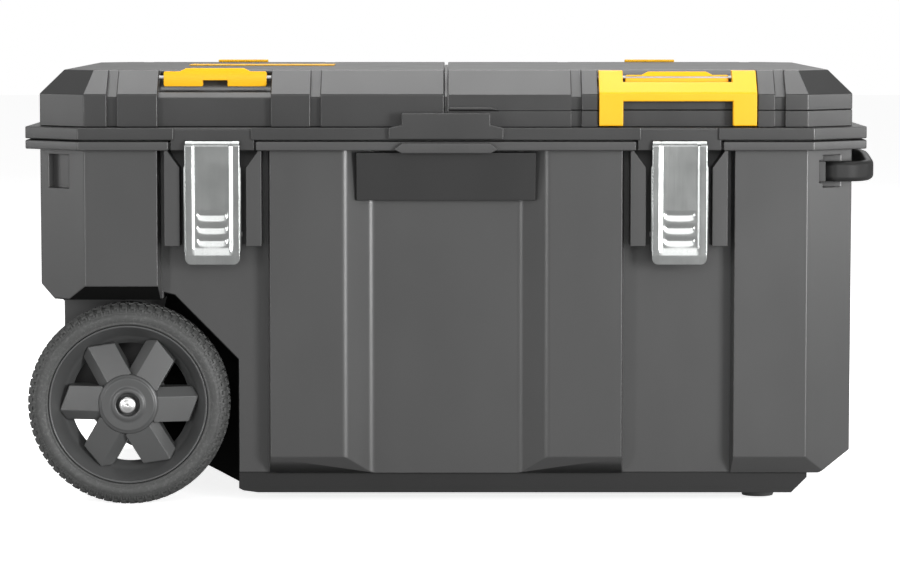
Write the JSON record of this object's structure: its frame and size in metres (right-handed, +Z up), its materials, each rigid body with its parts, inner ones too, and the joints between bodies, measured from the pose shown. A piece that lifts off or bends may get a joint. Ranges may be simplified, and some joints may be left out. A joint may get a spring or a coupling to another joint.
{
  "type": "wheeled tool chest",
  "caption": "Wheeled tool chest: moulded tub, rear-hinged lid with a fixed bin and a lift-off organizer, draw latches, rocker latches, pull-out end handle",
  "frame": {"origin": "centre of the box's footprint, on the ground", "axes": "+X along the length towards the pull handle, +Y towards the hinges, +Z up; the front faces -Y"},
  "size_m": [0.854, 0.508, 0.4396],
  "materials": {
    "body_plastic": "fine-grained moulded grey plastic",
    "black_plastic": "smooth near-black plastic",
    "wheel_plastic": "moulded dark grey plastic",
    "tyre_rubber": "dull tread rubber",
    "seal_rubber": "soft black rubber",
    "yellow_plastic": "bright yellow moulded plastic",
    "latch_steel": "plated pressed steel",
    "pin_steel": "turned steel",
    "handle_metal": "black coated bar"
  },
  "bodies": {
    "tub": {"tub": "body_plastic", "front_plate": "black_plastic", "axle": "pin_steel", "axle_bushing_front": "black_plastic", "axle_bushing_rear": "black_plastic", "push_cap_front": "pin_steel", "push_cap_rear": "pin_steel", "foot_front": "seal_rubber", "foot_rear": "seal_rubber", "lid_hinge_pin_left": "pin_steel", "lid_hinge_pin_right": "pin_steel", "handle_guide_front": "black_plastic", "handle_guide_rear": "black_plastic", "draw_bracket_left": "black_plastic", "draw_bracket_right": "black_plastic", "draw_pivot_pin_left": "pin_steel", "draw_pivot_pin_right": "pin_steel"},
    "front_wheel": {"tyre_front": "tyre_rubber", "wheel_front": "wheel_plastic"},
    "rear_wheel": {"tyre_rear": "tyre_rubber", "wheel_rear": "wheel_plastic"},
    "pull_handle": {"pull_handle": "black_plastic", "handle_arm_front": "handle_metal", "handle_arm_rear": "handle_metal"},
    "lid": {"lid_panel": "body_plastic", "rim_seal": "seal_rubber", "left_divider": "black_plastic", "left_cover_pin": "pin_steel"},
    "left_cover": {"left_cover": "body_plastic", "left_hinge_clip": "yellow_plastic", "cover_inlay": "yellow_plastic", "left_latch_pin": "pin_steel"},
    "left_latch": {"left_latch": "yellow_plastic"},
    "organizer": {"organizer_tray": "body_plastic", "organizer_divider_1": "black_plastic", "organizer_divider_2": "black_plastic", "organizer_cover_pin": "pin_steel"},
    "organizer_cover": {"organizer_cover": "body_plastic", "organizer_hinge_clip": "yellow_plastic", "organizer_latch_pin": "pin_steel"},
    "organizer_latch": {"organizer_latch": "yellow_plastic"},
    "carry_handle": {"carry_handle": "yellow_plastic"},
    "left_draw_link": {"draw_link_left": "latch_steel"},
    "left_draw_plate": {"draw_plate_left": "latch_steel", "draw_pin_left": "pin_steel"},
    "right_draw_link": {"draw_link_right": "latch_steel"},
    "right_draw_plate": {"draw_plate_right": "latch_steel", "draw_pin_right": "pin_steel"}
  },
  "joints": [
    {"name": "front_wheel_spin", "type": "hinge", "parent": "tub", "child": "front_wheel", "pos_m": [-0.3235, -0.207, 0.1015], "axis": [0, 1, 0], "continuous": true},
    {"name": "rear_wheel_spin", "type": "hinge", "parent": "tub", "child": "rear_wheel", "pos_m": [-0.3235, 0.199, 0.1015], "axis": [0, 1, 0], "continuous": true},
    {"name": "pull_handle_slide", "type": "slide", "parent": "tub", "child": "pull_handle", "axis": [1, 0, 0], "range_m": [0, 0.042]},
    {"name": "lid_hinge", "type": "hinge", "parent": "tub", "child": "lid", "pos_m": [-0.004, 0.248, 0.36725], "axis": [-1, 0, 0], "range_deg": [0, 95]},
    {"name": "left_cover_hinge", "type": "hinge", "parent": "lid", "child": "left_cover", "pos_m": [-0.231, 0.234, 0.386], "axis": [-1, 0, 0], "range_deg": [0, 100]},
    {"name": "left_latch_turn", "type": "hinge", "parent": "left_cover", "child": "left_latch", "pos_m": [-0.235, -0.21346, 0.429], "axis": [1, 0, 0], "range_deg": [0, 35]},
    {"name": "organizer_lift", "type": "slide", "parent": "lid", "child": "organizer", "axis": [0, 0, 1], "range_m": [0, 0.1]},
    {"name": "organizer_cover_hinge", "type": "hinge", "parent": "organizer", "child": "organizer_cover", "pos_m": [0.223, 0.234, 0.402], "axis": [-1, 0, 0], "range_deg": [0, 100]},
    {"name": "organizer_latch_turn", "type": "hinge", "parent": "organizer_cover", "child": "organizer_latch", "pos_m": [0.227, -0.21346, 0.429], "axis": [1, 0, 0], "range_deg": [0, 35]},
    {"name": "carry_handle_swing", "type": "hinge", "parent": "organizer_cover", "child": "carry_handle", "pos_m": [0.227, -0.21346, 0.429], "axis": [-1, 0, 0], "range_deg": [0, 100]},
    {"name": "left_link_turn", "type": "hinge", "parent": "tub", "child": "left_draw_link", "pos_m": [-0.2362, -0.236, 0.294], "axis": [-1, 0, 0], "range_deg": [0, 60]},
    {"name": "left_plate_turn", "type": "hinge", "parent": "left_draw_link", "child": "left_draw_plate", "pos_m": [-0.2362, -0.24, 0.274], "axis": [1, 0, 0], "range_deg": [0, 160]},
    {"name": "right_link_turn", "type": "hinge", "parent": "tub", "child": "right_draw_link", "pos_m": [0.2282, -0.236, 0.294], "axis": [-1, 0, 0], "range_deg": [0, 60]},
    {"name": "right_plate_turn", "type": "hinge", "parent": "right_draw_link", "child": "right_draw_plate", "pos_m": [0.2282, -0.24, 0.274], "axis": [1, 0, 0], "range_deg": [0, 160]}
  ],
  "couplings": [
    {"joint": "left_link_turn", "follows": "left_plate_turn", "ratio": 0.375},
    {"joint": "right_link_turn", "follows": "right_plate_turn", "ratio": 0.375}
  ]
}
